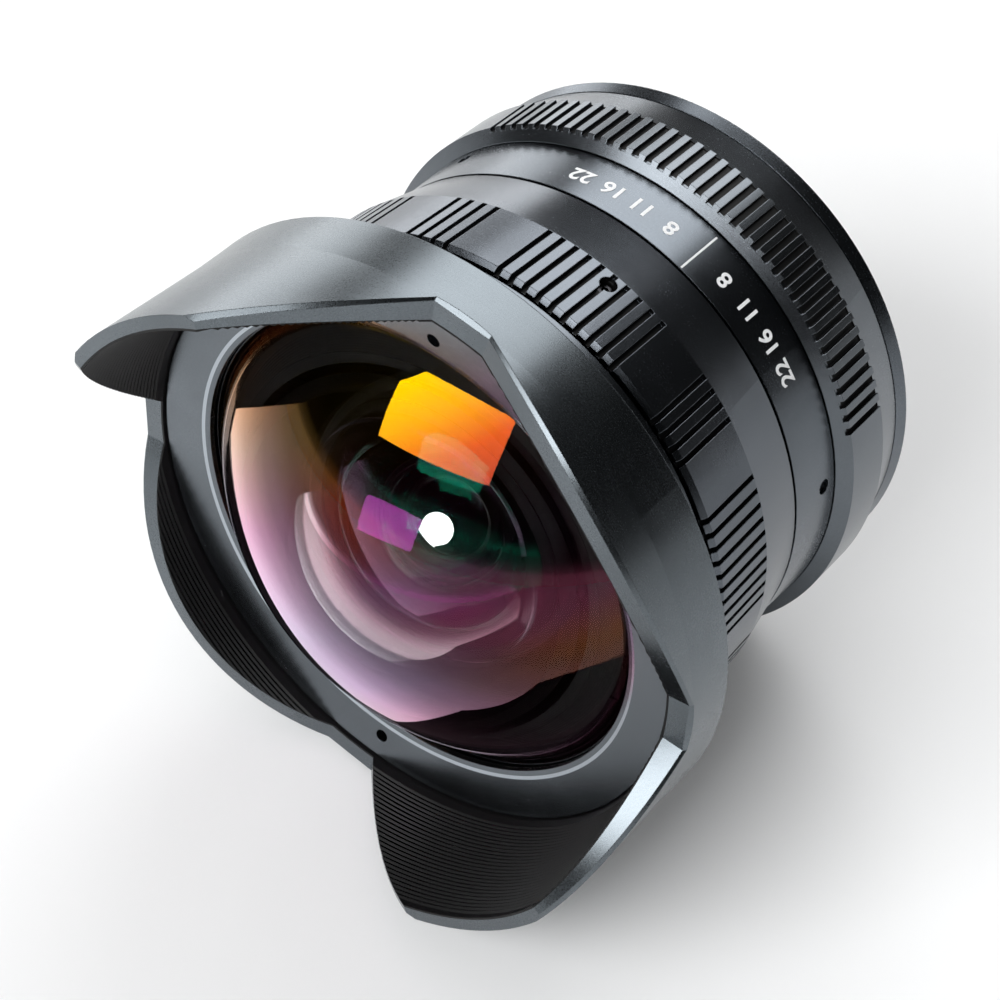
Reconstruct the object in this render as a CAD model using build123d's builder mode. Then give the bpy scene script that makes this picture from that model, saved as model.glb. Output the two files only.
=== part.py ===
"""Fisheye lens with a fixed petal hood, a focus ring, an aperture ring and a three-lug bayonet.

The optical axis is +Z. The origin is the centre of the mount flange face, the front is up.
The middle of a tall petal points along +Y and the middle of a low petal along +X.
All lengths are in millimetres and all angles are in degrees.
"""

import os
from math import acos, asin, atan2, copysign, cos, degrees, radians, sin, sqrt, tan

from build123d import *

os.makedirs("parts", exist_ok=True)

# Clearances
fit_gap = 0.05
run_gap = 0.05
ring_gap = 0.2
focus_gap = 0.4
cement_gap = 0.02
glass_gap = 0.1
overrun = 1.0

# Lengths of the outer rings along the axis, from the mount flange forward
rear_ring_setback = 0.9
rear_ring_length = 1.5
aperture_skirt_length = 4.8
knurl_length = 6.05
aperture_bevel_length = 0.95
index_length = 7.0
focus_cone_length = 7.5
grip_length = 8.8
collar_length = 2.4
hood_flare_length = 2.9
hood_band_length = 6.0
petal_length = 14.4

rear_ring_front = rear_ring_setback + rear_ring_length
aperture_rear = rear_ring_front + ring_gap
knurl_rear = aperture_rear + aperture_skirt_length
knurl_front = knurl_rear + knurl_length
aperture_front = knurl_front + aperture_bevel_length
index_rear = aperture_front + ring_gap
index_front = index_rear + index_length
focus_rear = index_front + focus_gap
grip_rear = focus_rear + focus_cone_length
focus_front = grip_rear + grip_length
collar_rear = focus_front + focus_gap
hood_rear = collar_rear + collar_length
hood_widest = hood_rear + hood_flare_length
notch_floor = hood_widest + hood_band_length
hood_front = notch_floor + petal_length

# Walls outward from the moving focus cell
cell_radius = 21.9
cell_wall = 2.3
tube_wall = 2.55
sleeve_wall = 2.65
tube_bore = cell_radius + run_gap
tube_radius = tube_bore + tube_wall
sleeve_bore = tube_radius + run_gap
sleeve_radius = sleeve_bore + sleeve_wall
barrel_radius = sleeve_radius + fit_gap
ring_bore = barrel_radius + run_gap

# Walls of the three outer rings
aperture_rear_wall = 3.3
aperture_skirt_wall = 4.2
knurl_wall = 4.6
aperture_front_wall = 3.0
index_rear_wall = 2.9
index_front_wall = 2.7
focus_rear_wall = 2.75
grip_rear_wall = 4.1
grip_front_wall = 4.35
grip_bevel = 0.5
knurl_depth = 0.5
knurl_groove_width = 0.8
knurl_bands = 2
knurl_ribs = 37
knurl_pitch = 2.9
knurl_middle = 31.5
grip_groove_depth = 0.6
grip_groove_width = 0.62
grip_pitch = 3.0
grip_slots = 20
grip_long_group = 10
grip_short_group = 4
grip_groups = 6
grip_long_middle = 33.5

# Rear ring, mount plate and baffle
rear_ring_wall = 3.75
rear_ring_draft = 0.4
rear_lip_width = 0.5
rear_lip_thickness = 0.4
plate_thickness = 2.0
plate_margin = 0.25
spigot_inset = 3.35
spigot_wall = 1.7
spigot_length = 5.2
lug_height = 1.5
lug_thickness = 1.4
lug_setback = 2.6
lug_arc = 52
lug_count = 3
lock_hole_radius = 1.1
lock_hole_depth = 1.3
lock_hole_angle = 100
baffle_thickness = 0.8
baffle_window_width = 17.0
baffle_window_height = 12.5
baffle_window_corner = 2.0

plate_radius = barrel_radius - plate_margin
rear_ring_bore = plate_radius + fit_gap
spigot_bore = tube_bore - spigot_inset
spigot_radius = spigot_bore + spigot_wall

# Small screws
mount_screw_radius = 0.8
mount_screw_head = 1.5
mount_screw_head_height = 0.9
mount_screw_length = 5.2
barrel_screw_radius = 0.7
barrel_screw_head = 1.15
barrel_screw_head_height = 0.8
barrel_screw_length = 4.6
iris_screw_radius = 0.5
iris_screw_head = 0.85
iris_screw_head_height = 0.7
iris_screw_length = 7.2
mount_screw_count = 4
mount_screw_angle = 33
barrel_screw_count = 3
barrel_screw_angle = 11
iris_screw_count = 3
iris_screw_angle = 60
slot_width_share = 0.22
slot_depth_share = 0.5
hex_sides = 6
grub_count = 3
grub_radius = 0.8
grub_length = 3.0
grub_sink = 0.5
grub_angle = -31
grub_setback = 1.9
focus_grub_radius = 0.9
focus_grub_length = 4.0
focus_grub_sink = 0.9
focus_grub_angle = 31.7
focus_grub_setback = 1.6

# Focus mechanism: turning the ring by focus_turn moves the cell forward by focus_travel
focus_turn = 90
focus_travel = 1.0
guide_pin_radius = 1.0
guide_pin_bite = 1.9
guide_pin_setback = 4.5
guide_pin_angle = 91.7
guide_count = 3
pin_station = focus_rear + guide_pin_setback

# Aperture mechanism: ring and cam ring turn by aperture_turn, each blade by blade_turn
aperture_turn = 42
blade_turn = 24
aperture_clicks = 7
aperture_pin_radius = 0.8
aperture_pin_setback = 2.0
aperture_pin_bite = 2.0
aperture_pin_angle = 99
fork_wall = 1.2
fork_depth = 2.6
fork_gap = 0.8
fork_rise = 1.3
blade_count = 6
blade_thickness = 0.15
blade_pitch = 0.22
blade_gap = 0.08
blade_edge_inset = 5.3
blade_width = 4.4
blade_arc = 112
blade_tab_width = 1.5
pivot_inset = 4.75
drive_arm = 2.4
pin_radius = 0.4
cam_thickness = 1.0
cam_width = 7.15
cam_inset = 5.55
iris_plate_thickness = 1.0
iris_plate_margin = 0.3
iris_ledge_width = 0.8
iris_wall = 2.0
iris_cup_rise = 1.8
iris_ring_thickness = 0.75
iris_ring_width = 1.5

cam_radius = cell_radius - cam_inset
cam_bore = cam_radius - cam_width
pivot_circle = cam_radius - pivot_inset
blade_edge_radius = pivot_circle - blade_edge_inset
iris_plate_bore = blade_edge_radius + iris_plate_margin
pin_height = aperture_front - aperture_pin_setback
cam_rear = pin_height - aperture_pin_radius
cam_front = cam_rear + cam_thickness
blade_stack = blade_count * blade_pitch + 2 * blade_gap
iris_plate_front = cam_rear - blade_stack
iris_plate_rear = iris_plate_front - iris_plate_thickness
iris_cup_bore = cam_radius + run_gap
iris_cup_radius = iris_cup_bore + iris_wall
iris_cup_front = cam_front + iris_cup_rise
screw_circle = iris_cup_bore + iris_wall / 2

# Click stop of the aperture ring
click_ball_radius = 0.8
click_sink = 0.02
click_angle = -60
click_wire = 0.12
click_turns = 5
click_pitch = 0.45
click_dimple = 0.3


def polar(radius, angle):
    """Point at a radius and an angle around the optical axis."""
    return (radius * cos(radians(angle)), radius * sin(radians(angle)))


def sag(curve, radius):
    """Depth of a spherical face of the given curve out to a radius, negative for a hollow face."""
    return curve - copysign(sqrt(curve**2 - radius**2), curve)


# Glass: radius, front curve, thickness and rear curve of each element.
# A positive curve bulges outward at either end and a hollow end has its seat given with it.
# The two parts of a doublet share their radius and the curve between them.
front_glass_radius = 28.0
front_glass_front_curve = 35.03
front_glass_thickness = 2.5
front_glass_margin = 0.65
front_glass_seat = 4.4
front_glass_rise = 17.65
second_glass_margin = 4.95
front_cell_spigot_wall = 1.25
second_glass_front_curve = 30.0
second_glass_thickness = 1.7
second_glass_rear_curve = 12.0
second_glass_rise = 8.9
third_glass_radius = 11.5
third_glass_front_curve = 60.0
third_glass_thickness = 1.3
third_glass_rear_curve = 14.0
third_glass_rise = 5.5
fourth_glass_radius = 9.5
fourth_glass_front_curve = 16.0
fourth_glass_edge = 3.83
fourth_rear_curve = 30.0
fifth_glass_radius = 10.5
fifth_glass_front_curve = 20.0
fifth_glass_edge = 1.28
fifth_glass_rear_curve = 28.0
middle_glass_radius = 7.5
middle_crown_curve = 18.0
middle_crown_thickness = 3.8
middle_joint_curve = 20.0
middle_flint_thickness = 1.4
middle_flint_curve = 40.0
rear_glass_radius = 6.8
rear_crown_curve = 14.0
rear_crown_thickness = 4.0
rear_joint_curve = 16.0
rear_flint_thickness = 1.1
rear_flint_curve = 60.0

fourth_glass_bulges = sag(fourth_glass_front_curve, fourth_glass_radius)
fourth_glass_bulges += sag(fourth_rear_curve, fourth_glass_radius)
fourth_glass_thickness = fourth_glass_edge + fourth_glass_bulges
fifth_glass_bulges = sag(fifth_glass_front_curve, fifth_glass_radius)
fifth_glass_bulges += sag(fifth_glass_rear_curve, fifth_glass_radius)
fifth_glass_thickness = fifth_glass_edge + fifth_glass_bulges
third_glass = (third_glass_radius, third_glass_front_curve, third_glass_thickness, third_glass_rear_curve)
fourth_glass = (fourth_glass_radius, fourth_glass_front_curve, fourth_glass_thickness, fourth_rear_curve)
fifth_glass = (fifth_glass_radius, fifth_glass_front_curve, fifth_glass_thickness, fifth_glass_rear_curve)
second_radius = tube_bore - second_glass_margin
front_hollow_radius = second_radius + front_cell_spigot_wall + front_glass_margin
front_hollow_depth = front_glass_rise - front_glass_thickness
front_glass_rear_curve = (front_hollow_radius**2 + front_hollow_depth**2) / (2 * front_hollow_depth)
front_glass = (front_glass_radius, front_glass_front_curve, front_glass_thickness, front_glass_rear_curve)
second_glass = (second_radius, second_glass_front_curve, second_glass_thickness, second_glass_rear_curve)
middle_crown = (middle_glass_radius, middle_crown_curve, middle_crown_thickness, middle_joint_curve)
middle_flint = (middle_glass_radius, middle_joint_curve, middle_flint_thickness, middle_flint_curve)
rear_crown = (rear_glass_radius, rear_crown_curve, rear_crown_thickness, rear_joint_curve)
rear_flint = (rear_glass_radius, rear_joint_curve, rear_flint_thickness, rear_flint_curve)

# Front barrel, hood, bezel and front retainer
front_flange_thickness = 2.5
front_flange_rise = 1.3
front_barrel_wall = 2.15
collar_step = 0.7
hood_shelf_width = 2.85
hood_neck_wall = 1.35
hood_wall = 2.9
hood_widest_wall = 3.05
hood_tip_wall = 1.65
hood_inner_draft = 1.5
hood_edge_round = 0.5
hood_chamfer = 0.3
tall_petal_half_angle = 45.0
tall_petal_lean = 31.6
low_petal_half_angle = 34.6
low_petal_lean = 52.9
ridge_pitch = 0.5
ridge_depth = 0.22
ridge_rows = 26
ridge_start = 0.9
low_cut_stations = 9
tall_cut_stations = 6
bezel_height = 2.65
bezel_draft = 0.8
bezel_seam = 0.2
bezel_lip_width = 4.4
bezel_edge_width = 0.9
bezel_edge_drop = 0.35
bezel_recess_height = 0.8
bezel_hole_count = 2
bezel_hole_circle = 30.0
bezel_hole_radius = 0.75
bezel_hole_depth = 1.2
bezel_hole_angle = 45.3
retainer_thickness = 0.75
retainer_step = 0.25
retainer_width = 2.2

tube_front = collar_rear + front_flange_rise
glass_shelf = tube_front + front_flange_thickness
front_barrel_front = glass_shelf + front_glass_seat
glass_bore = front_glass_radius + fit_gap
front_barrel_radius = glass_bore + front_barrel_wall
collar_radius = front_barrel_radius + collar_step
hood_bore = front_barrel_radius + fit_gap
hood_inner = hood_bore + hood_shelf_width
hood_radius = hood_inner + hood_wall

# Front group cell, which carries the second, third and fourth elements
front_cell_lip = 1.1
front_cell_wall = 1.95
front_cell_depth = 18.0
second_seat_depth = 4.0
third_seat_depth = 10.5
fourth_top_depth = 12.15
fourth_lip_width = 0.65
ring_width = 1.15
ring_height = 0.7

# Focus cell and rear group cell
web_thickness = 1.6
hub_wall = 2.25
hub_length = 6.0
fifth_seat_height = 2.5
fifth_lip_width = 0.65
cell_nose = 6.5
rear_cell_flange = 1.0
rear_cell_radius = 12.5
rear_cell_length = 12.0
middle_seat_depth = 5.1
rear_seat_depth = 8.1
rear_lip_radius = 6.2

web_rear = iris_cup_front
cell_front = pin_station + cell_nose
rear_cell_front = iris_plate_rear
rear_cell_rear = rear_cell_front - rear_cell_flange - rear_cell_length


def half_section(*points):
    """Face in the XZ plane through (radius, height) points, to be turned around the axis."""
    with BuildSketch(Plane.XZ) as section:
        with BuildLine():
            Polyline(*points, close=True)
        make_face()
    return section.sketch


def ring_section(inner, outer, bottom, top):
    """Rectangular half section of a plain ring."""
    return half_section((inner, bottom), (outer, bottom), (outer, top), (inner, top))


def glass_section(glass, apex, hollow_seat=None):
    """Half section of a lens element with its front apex at a height.

    A hollow rear face ends in a flat seat at hollow_seat, when that is given.
    """
    radius, front_curve, thickness, rear_curve = glass
    rear_apex = apex - thickness
    front_edge = apex - sag(front_curve, radius)
    front_half = apex - sag(front_curve, radius / 2)
    if hollow_seat is None:
        rim = radius
        rear_edge = rear_apex + sag(rear_curve, radius)
        rear_half = rear_apex + sag(rear_curve, radius / 2)
    else:
        rim = sqrt(rear_curve**2 - (hollow_seat - rear_apex + rear_curve) ** 2)
        rear_edge = hollow_seat
        rear_half = rear_apex - sag(rear_curve, rim / 2)
    with BuildSketch(Plane.XZ) as section:
        with BuildLine():
            ThreePointArc((0, rear_apex), (rim / 2, rear_half), (rim, rear_edge))
            if hollow_seat is not None:
                Line((rim, rear_edge), (radius, rear_edge))
            Line((radius, rear_edge), (radius, front_edge))
            ThreePointArc((radius, front_edge), (radius / 2, front_half), (0, apex))
            Line((0, apex), (0, rear_apex))
        make_face()
    return section.sketch


def sector_face(inner, outer, start, sweep_angle):
    """Ring sector in the XY plane."""
    end = start + sweep_angle
    with BuildSketch() as sector:
        with BuildLine():
            CenterArc((0, 0), outer, start, sweep_angle)
            CenterArc((0, 0), inner, start, sweep_angle)
            Line(polar(inner, start), polar(outer, start))
            Line(polar(inner, end), polar(outer, end))
        make_face()
    return sector.sketch


def radial_plane(angle, height, radius):
    """Plane whose normal points outward at an angle, at a height and a distance from the axis."""
    x, y = polar(radius, angle)
    return Plane(origin=(x, y, height), x_dir=(0, 0, 1), z_dir=(x / radius, y / radius, 0))


def turned(radius, angle):
    """Place at a radius and an angle around the axis, turned to face outward."""
    return Location((*polar(radius, angle), 0), angle)


def around(angle, count):
    """Angles of evenly spaced places around the axis, the first one at an angle."""
    return [angle + 360 / count * k for k in range(count)]


def finish(piece, label):
    """Name a finished piece and write its file."""
    piece.part.label = label
    export_step(piece.part, f"parts/{label}.step")


# Mount plate: flange, spigot and three bayonet lugs, with screw holes and the hole of the lock pin
mount_circle = (tube_bore + barrel_radius) / 2
with BuildPart() as mount_plate:
    revolve(
        half_section(
            (spigot_bore, -spigot_length),
            (spigot_radius, -spigot_length),
            (spigot_radius, 0),
            (plate_radius, 0),
            (plate_radius, plate_thickness),
            (spigot_bore, plate_thickness),
        ),
        axis=Axis.Z,
    )
    with BuildSketch(Plane.XY.offset(-lug_setback - lug_thickness)):
        for lug_start in around(-lug_arc / 2, lug_count):
            add(sector_face(spigot_radius - fit_gap, spigot_radius + lug_height, lug_start, lug_arc))
    extrude(amount=lug_thickness)
    with BuildSketch(Plane.XY):
        with PolarLocations(mount_circle, mount_screw_count, start_angle=mount_screw_angle):
            Circle(mount_screw_head + fit_gap)
    extrude(amount=mount_screw_head_height + fit_gap, mode=Mode.SUBTRACT)
    with BuildSketch(Plane.XY):
        with PolarLocations(mount_circle, mount_screw_count, start_angle=mount_screw_angle):
            Circle(mount_screw_radius + fit_gap)
    extrude(amount=plate_thickness, mode=Mode.SUBTRACT)
    with BuildSketch(Plane.XY):
        with Locations(polar(mount_circle, lock_hole_angle)):
            Circle(lock_hole_radius)
    extrude(amount=lock_hole_depth, mode=Mode.SUBTRACT)
finish(mount_plate, "mount_plate")

# Mount screws, heads sunk in the rear face of the plate
with BuildPart() as mount_screws:
    with BuildSketch(Plane.XY.offset(fit_gap)):
        with PolarLocations(mount_circle, mount_screw_count, start_angle=mount_screw_angle):
            Circle(mount_screw_head)
    extrude(amount=mount_screw_head_height - fit_gap)
    with BuildSketch(Plane.XY.offset(fit_gap)):
        with PolarLocations(mount_circle, mount_screw_count, start_angle=mount_screw_angle):
            Circle(mount_screw_radius)
    extrude(amount=mount_screw_head_height + mount_screw_length)
    with BuildSketch(Plane.XY.offset(fit_gap)):
        with PolarLocations(mount_circle, mount_screw_count, start_angle=mount_screw_angle):
            Rectangle(2 * mount_screw_head, mount_screw_head * slot_width_share)
            Rectangle(mount_screw_head * slot_width_share, 2 * mount_screw_head)
    extrude(amount=mount_screw_head_height * slot_depth_share, mode=Mode.SUBTRACT)
finish(mount_screws, "mount_screws")

# Rear baffle: a plate with a rectangular window in the end of the spigot
with BuildPart() as rear_baffle:
    with BuildSketch(Plane.XY.offset(-spigot_length)):
        Circle(spigot_bore - fit_gap)
        RectangleRounded(baffle_window_width, baffle_window_height, baffle_window_corner, mode=Mode.SUBTRACT)
    extrude(amount=baffle_thickness)
finish(rear_baffle, "rear_baffle")

# Rear ring, clamped by its lip between the mount plate and the main barrel
lip_bore = rear_ring_bore - rear_lip_width
with BuildPart() as rear_ring:
    revolve(
        half_section(
            (rear_ring_bore, rear_ring_setback),
            (barrel_radius + rear_ring_wall, rear_ring_setback),
            (barrel_radius + rear_ring_wall - rear_ring_draft, rear_ring_front),
            (lip_bore, rear_ring_front),
            (lip_bore, rear_ring_front - rear_lip_thickness + fit_gap),
            (rear_ring_bore, rear_ring_front - rear_lip_thickness + fit_gap),
        ),
        axis=Axis.Z,
    )
finish(rear_ring, "rear_ring")

# Main barrel: thick rear drum, thin front tube, slots for the aperture pin and the guide pins
click_height = (knurl_rear + knurl_front) / 2
click_seat = barrel_radius - click_sink - 2 * click_ball_radius - click_turns * click_pitch
guide_slot_radius = guide_pin_radius + run_gap
pin_slot_margin = degrees(2 * aperture_pin_radius / barrel_radius)
with BuildPart() as main_barrel:
    revolve(
        half_section(
            (tube_bore, plate_thickness),
            (lip_bore - fit_gap, plate_thickness),
            (lip_bore - fit_gap, rear_ring_front + fit_gap),
            (barrel_radius, rear_ring_front + fit_gap),
            (barrel_radius, index_front),
            (tube_radius, index_front),
            (tube_radius, tube_front),
            (tube_bore, tube_front),
        ),
        axis=Axis.Z,
    )
    with BuildSketch(Plane.XY.offset(plate_thickness)):
        with PolarLocations(mount_circle, mount_screw_count, start_angle=mount_screw_angle):
            Circle(mount_screw_radius + fit_gap)
    extrude(amount=mount_screw_length, mode=Mode.SUBTRACT)
    with BuildSketch(Plane.XY.offset(pin_height - aperture_pin_radius - ring_gap / 2)):
        add(
            sector_face(
                tube_bore - overrun,
                barrel_radius + overrun,
                aperture_pin_angle - pin_slot_margin,
                aperture_turn + 2 * pin_slot_margin,
            )
        )
    extrude(amount=2 * aperture_pin_radius + ring_gap, mode=Mode.SUBTRACT)
    for angle in around(guide_pin_angle, guide_count):
        with BuildSketch(radial_plane(angle, pin_station + focus_travel / 2, tube_bore - overrun)):
            SlotCenterToCenter(focus_travel, 2 * guide_slot_radius)
        extrude(amount=tube_wall + 2 * overrun, mode=Mode.SUBTRACT)
    for angle in around(barrel_screw_angle, barrel_screw_count):
        with BuildSketch(Plane.XY.offset(tube_front)):
            with Locations(polar((tube_bore + tube_radius) / 2, angle)):
                Circle(barrel_screw_radius + fit_gap)
        extrude(amount=-barrel_screw_length, mode=Mode.SUBTRACT)
    for angle in around(grub_angle, grub_count):
        grub_foot = barrel_radius + index_rear_wall - grub_sink - grub_length
        with BuildSketch(radial_plane(angle, index_rear + grub_setback, grub_foot - fit_gap)):
            Circle(grub_radius + fit_gap)
        extrude(amount=grub_length, mode=Mode.SUBTRACT)
    with BuildSketch(radial_plane(click_angle, click_height, click_seat)):
        Circle(click_ball_radius + fit_gap)
    extrude(amount=barrel_radius - click_seat + overrun, mode=Mode.SUBTRACT)
finish(main_barrel, "main_barrel")

# Click ball and its spring, in a radial bore of the main barrel
ball_x, ball_y = polar(barrel_radius - click_sink - click_ball_radius, click_angle)
with BuildPart() as click_ball:
    with Locations((ball_x, ball_y, click_height)):
        Sphere(click_ball_radius)
finish(click_ball, "click_ball")

spring_x, spring_y = polar(click_seat + click_wire + fit_gap, click_angle)
spring_length = click_pitch * (click_turns - 1)
with BuildPart() as click_spring:
    with BuildLine() as spring_line:
        Helix(
            click_pitch,
            spring_length,
            click_ball_radius - click_wire - fit_gap,
            center=(spring_x, spring_y, click_height),
            direction=(*polar(1, click_angle), 0),
        )
    with BuildSketch(Plane(origin=spring_line.line @ 0, z_dir=spring_line.line % 0)):
        Circle(click_wire)
    sweep(is_frenet=True)
finish(click_spring, "click_spring")

# Index ring with three grub screws
index_rear_radius = barrel_radius + fit_gap + index_rear_wall
index_front_radius = barrel_radius + fit_gap + index_front_wall
grub_top = index_rear_radius - grub_sink
with BuildPart() as index_ring:
    revolve(
        half_section(
            (barrel_radius + fit_gap, index_rear),
            (index_rear_radius, index_rear),
            (index_front_radius, index_front),
            (barrel_radius + fit_gap, index_front),
        ),
        axis=Axis.Z,
    )
    for angle in around(grub_angle, grub_count):
        with BuildSketch(radial_plane(angle, index_rear + grub_setback, barrel_radius - overrun)):
            Circle(grub_radius + fit_gap)
        extrude(amount=index_rear_wall + 2 * overrun, mode=Mode.SUBTRACT)
finish(index_ring, "index_ring")

with BuildPart() as index_grub_screws:
    for angle in around(grub_angle, grub_count):
        with BuildSketch(radial_plane(angle, index_rear + grub_setback, grub_top - grub_length)):
            Circle(grub_radius)
        extrude(amount=grub_length)
        with BuildSketch(radial_plane(angle, index_rear + grub_setback, grub_top)):
            RegularPolygon(grub_radius * slot_depth_share, hex_sides)
        extrude(amount=-grub_length * slot_width_share, mode=Mode.SUBTRACT)
finish(index_grub_screws, "index_grub_screws")

# Aperture ring: flared skirt, two knurled arcs, front bevel, click dimples and the pin's hole
pin_foot = ring_bore + aperture_pin_bite
click_step = aperture_turn / (aperture_clicks - 1)
knurl_radius = ring_bore + knurl_wall
with BuildPart() as aperture_ring:
    revolve(
        half_section(
            (ring_bore, aperture_rear),
            (ring_bore + aperture_rear_wall, aperture_rear),
            (ring_bore + aperture_skirt_wall, knurl_rear),
            (knurl_radius, knurl_rear),
            (knurl_radius, knurl_front),
            (ring_bore + aperture_front_wall, aperture_front),
            (ring_bore, aperture_front),
        ),
        axis=Axis.Z,
    )
    with BuildSketch(Plane.XY.offset(knurl_rear)):
        for middle in around(knurl_middle, knurl_bands):
            first = middle - (knurl_ribs - 1) / 2 * knurl_pitch
            with PolarLocations(knurl_radius, knurl_ribs, first, knurl_ribs * knurl_pitch):
                Rectangle(2 * knurl_depth, knurl_groove_width)
    extrude(amount=knurl_length + overrun, mode=Mode.SUBTRACT)
    with BuildSketch(Plane.XY.offset(click_height - click_ball_radius)):
        with PolarLocations(ring_bore, aperture_clicks, click_angle, -aperture_clicks * click_step):
            Circle(click_dimple)
    extrude(amount=2 * click_ball_radius, mode=Mode.SUBTRACT)
    with BuildSketch(radial_plane(aperture_pin_angle, pin_height, ring_bore - overrun)):
        Circle(aperture_pin_radius + fit_gap)
    extrude(amount=aperture_pin_bite + overrun, mode=Mode.SUBTRACT)
finish(aperture_ring, "aperture_ring")

# Aperture pin, from the ring through the barrel's slot into the fork of the cam ring
fork_inner = iris_cup_radius + ring_gap
with BuildPart() as aperture_pin:
    with BuildSketch(radial_plane(aperture_pin_angle, pin_height, fork_inner + fork_gap)):
        Circle(aperture_pin_radius)
    extrude(amount=pin_foot - fork_inner - fork_gap - fit_gap)
finish(aperture_pin, "aperture_pin")

# Focus ring: smooth cone and grooved grip
focus_bore = sleeve_radius + fit_gap
grip_radius = focus_bore + grip_rear_wall
grip_front_radius = focus_bore + grip_front_wall
focus_grub_top = grip_radius - focus_grub_sink
focus_grub_foot = focus_grub_top - focus_grub_length
focus_grub_height = grip_rear + focus_grub_setback
groove_slots = [k for k in range(grip_long_group)]
groove_slots += [
    grip_long_group + (grip_slots - grip_long_group - grip_short_group) // 2 + k
    for k in range(grip_short_group)
]
groove_floor = grip_radius - grip_groove_depth
with BuildPart() as focus_ring:
    revolve(
        half_section(
            (focus_bore, focus_rear),
            (focus_bore + focus_rear_wall, focus_rear),
            (grip_radius, grip_rear),
            (grip_front_radius, focus_front - grip_bevel),
            (grip_front_radius - grip_bevel, focus_front),
            (focus_bore, focus_front),
        ),
        axis=Axis.Z,
    )
    with BuildSketch(Plane.XY.offset(grip_rear)):
        for group in range(grip_groups):
            for slot in groove_slots:
                shift = slot - (grip_long_group - 1) / 2
                turn = grip_long_middle + group * 360 / grip_groups + shift * grip_pitch
                with Locations(turned(groove_floor + overrun, turn)):
                    Rectangle(2 * overrun, grip_groove_width)
    extrude(amount=grip_length, mode=Mode.SUBTRACT)
    for angle in around(focus_grub_angle, grub_count):
        with BuildSketch(radial_plane(angle, focus_grub_height, focus_bore - overrun)):
            Circle(focus_grub_radius + fit_gap)
        extrude(amount=grip_front_wall + 2 * overrun, mode=Mode.SUBTRACT)
finish(focus_ring, "focus_ring")

# Cam sleeve inside the focus ring, with three helical slots that drive the guide pins
cam_lead = focus_travel * 360 / focus_turn
sleeve_rear = index_front + ring_gap
with BuildPart() as cam_sleeve:
    revolve(ring_section(sleeve_bore, sleeve_radius, sleeve_rear, focus_front), axis=Axis.Z)
    for angle in around(guide_pin_angle, guide_count):
        with BuildLine() as slot_line:
            Helix(
                cam_lead,
                focus_travel,
                (sleeve_bore + sleeve_radius) / 2,
                center=(0, 0, pin_station),
                lefthand=True,
            )
        slot_path = slot_line.line.rotate(Axis.Z, angle)
        with BuildSketch(Plane(origin=slot_path @ 0, x_dir=(0, 0, 1), z_dir=slot_path % 0)):
            Rectangle(2 * guide_slot_radius, sleeve_wall + 2 * overrun)
        sweep(path=slot_path, is_frenet=True, mode=Mode.SUBTRACT)
        slot_ends = ((angle, pin_station), (angle - focus_turn, pin_station + focus_travel))
        for end_angle, end_height in slot_ends:
            with BuildSketch(radial_plane(end_angle, end_height, sleeve_bore - overrun)):
                Circle(guide_slot_radius)
            extrude(amount=sleeve_wall + 2 * overrun, mode=Mode.SUBTRACT)
    for angle in around(focus_grub_angle, grub_count):
        with BuildSketch(radial_plane(angle, focus_grub_height, focus_grub_foot - fit_gap)):
            Circle(focus_grub_radius + fit_gap)
        extrude(amount=focus_grub_length, mode=Mode.SUBTRACT)
finish(cam_sleeve, "cam_sleeve")

with BuildPart() as focus_grub_screws:
    for angle in around(focus_grub_angle, grub_count):
        with BuildSketch(radial_plane(angle, focus_grub_height, focus_grub_foot)):
            Circle(focus_grub_radius)
        extrude(amount=focus_grub_length)
        with BuildSketch(radial_plane(angle, focus_grub_height, focus_grub_top)):
            RegularPolygon(focus_grub_radius * slot_depth_share, hex_sides)
        extrude(amount=-focus_grub_length * slot_width_share, mode=Mode.SUBTRACT)
finish(focus_grub_screws, "focus_grub_screws")

# Focus cell: slides in the main tube and carries the iris and the rear group
cell_bore = cell_radius - cell_wall
fifth_bore = fifth_glass_radius + fit_gap
fifth_seat = web_rear + fifth_seat_height
with BuildPart() as focus_cell:
    revolve(
        half_section(
            (fifth_glass_radius - fifth_lip_width, web_rear),
            (cell_radius, web_rear),
            (cell_radius, cell_front),
            (cell_bore, cell_front),
            (cell_bore, web_rear + web_thickness),
            (fifth_bore + hub_wall, web_rear + web_thickness),
            (fifth_bore + hub_wall, web_rear + hub_length),
            (fifth_bore, web_rear + hub_length),
            (fifth_bore, fifth_seat),
            (fifth_glass_radius - fifth_lip_width, fifth_seat),
        ),
        axis=Axis.Z,
    )
    for angle in around(guide_pin_angle, guide_count):
        with BuildSketch(radial_plane(angle, pin_station, cell_bore - overrun)):
            Circle(guide_pin_radius + fit_gap)
        extrude(amount=cell_wall + 2 * overrun, mode=Mode.SUBTRACT)
    with BuildSketch(Plane.XY.offset(web_rear)):
        with PolarLocations(screw_circle, iris_screw_count, start_angle=iris_screw_angle):
            Circle(iris_screw_radius + fit_gap)
    extrude(amount=web_thickness, mode=Mode.SUBTRACT)
finish(focus_cell, "focus_cell")

with BuildPart() as guide_pins:
    for angle in around(guide_pin_angle, guide_count):
        with BuildSketch(radial_plane(angle, pin_station, cell_radius - guide_pin_bite)):
            Circle(guide_pin_radius)
        extrude(amount=guide_pin_bite + sleeve_radius - cell_radius - run_gap)
finish(guide_pins, "guide_pins")

# Fifth element and its ring in the hub of the focus cell
fifth_lip = fifth_glass_radius - fifth_lip_width
fifth_apex = fifth_seat + fifth_glass_thickness - sag(fifth_glass_rear_curve, fifth_lip) + glass_gap
with BuildPart() as fifth_element:
    revolve(glass_section(fifth_glass, fifth_apex), axis=Axis.Z)
finish(fifth_element, "fifth_element")

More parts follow.
